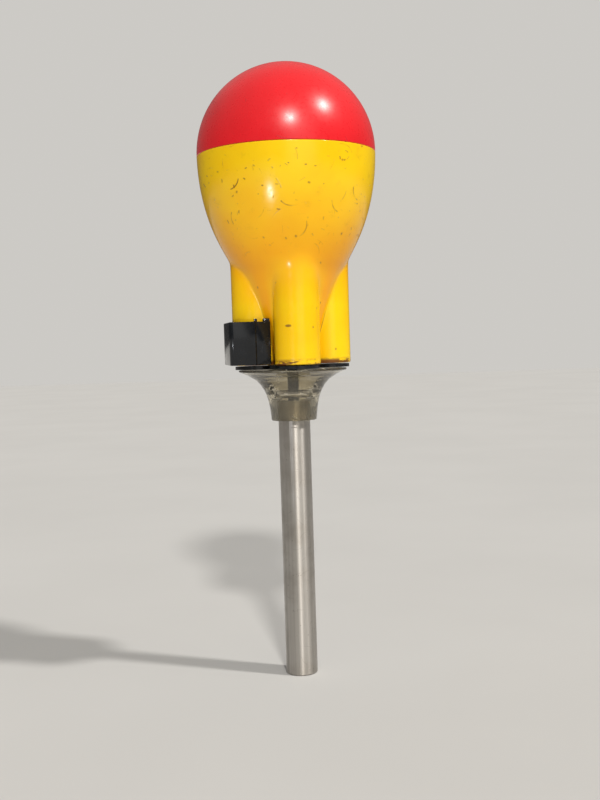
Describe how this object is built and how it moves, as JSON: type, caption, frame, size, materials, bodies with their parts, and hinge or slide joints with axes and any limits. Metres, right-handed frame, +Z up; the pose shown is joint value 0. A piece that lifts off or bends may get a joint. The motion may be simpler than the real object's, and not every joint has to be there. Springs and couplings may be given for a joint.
{
  "type": "multi-bit screwdriver",
  "caption": "Palm-ball hand tool with round bit chambers under a bulb handle, a boxed sliding lock, a clear feed funnel and a straight steel tube shaft.",
  "frame": {"origin": "middle of the shaft tip's end face, on the shaft's axis", "axes": "+Z runs up the shaft to the top of the dome, -Y is the front, and -X is the side with the lock slider"},
  "size_m": [0.0558, 0.0558, 0.1923],
  "materials": {
    "yellow_plastic": "glossy moulded plastic with small scuffs and dirt marks",
    "red_plastic": "smooth glossy moulded plastic",
    "black_plastic": "smooth black moulded plastic",
    "clear_plastic": "clear moulded plastic, slightly yellowed",
    "shaft_steel": "drawn steel tube with fine lengthwise lines",
    "bright_steel": "bright machined steel",
    "dark_steel": "blackened steel",
    "bit_steel": "dark hardened steel",
    "black_rubber": "matt rubber"
  },
  "bodies": {
    "handle": {"handle_body": "yellow_plastic", "chamber_cover": "black_plastic", "cover_screw_1": "bright_steel", "cover_screw_2": "bright_steel", "cover_screw_3": "bright_steel", "cover_screw_4": "bright_steel"},
    "dome": {"dome_cap": "red_plastic", "dome_friction_ring": "black_rubber", "push_rod": "dark_steel", "rod_head": "bright_steel", "bit_magnet": "dark_steel", "rod_pin": "bright_steel"},
    "selector": {"selector_gate": "black_plastic", "hub_washer": "bright_steel", "hub_circlip": "dark_steel", "feed_funnel": "clear_plastic", "shaft_tube": "shaft_steel", "bit_retainer": "dark_steel"},
    "lock": {"lock_slider": "black_plastic"},
    "wide_bit": {"bit_slot_wide": "bit_steel"},
    "cross_bit": {"bit_cross": "bit_steel"},
    "narrow_bit": {"bit_slot_narrow": "bit_steel"}
  },
  "joints": [
    {"name": "dome_pull", "type": "slide", "parent": "handle", "child": "dome", "axis": [0, 0, 1], "range_m": [0, 0.086]},
    {"name": "selector_turn", "type": "hinge", "parent": "handle", "child": "selector", "pos_m": [0, 0, 0.0977], "axis": [0, 0, 1], "continuous": true},
    {"name": "lock_slide", "type": "slide", "parent": "handle", "child": "lock", "axis": [0, 0, 1], "range_m": [-0.0014, 0]},
    {"name": "wide_bit_slide", "type": "slide", "parent": "handle", "child": "wide_bit", "axis": [0, 0, 1], "range_m": [0, 0.006]},
    {"name": "cross_bit_slide", "type": "slide", "parent": "handle", "child": "cross_bit", "axis": [0, 0, 1], "range_m": [0, 0.006]},
    {"name": "narrow_bit_slide", "type": "slide", "parent": "handle", "child": "narrow_bit", "axis": [0, 0, 1], "range_m": [0, 0.006]}
  ]
}
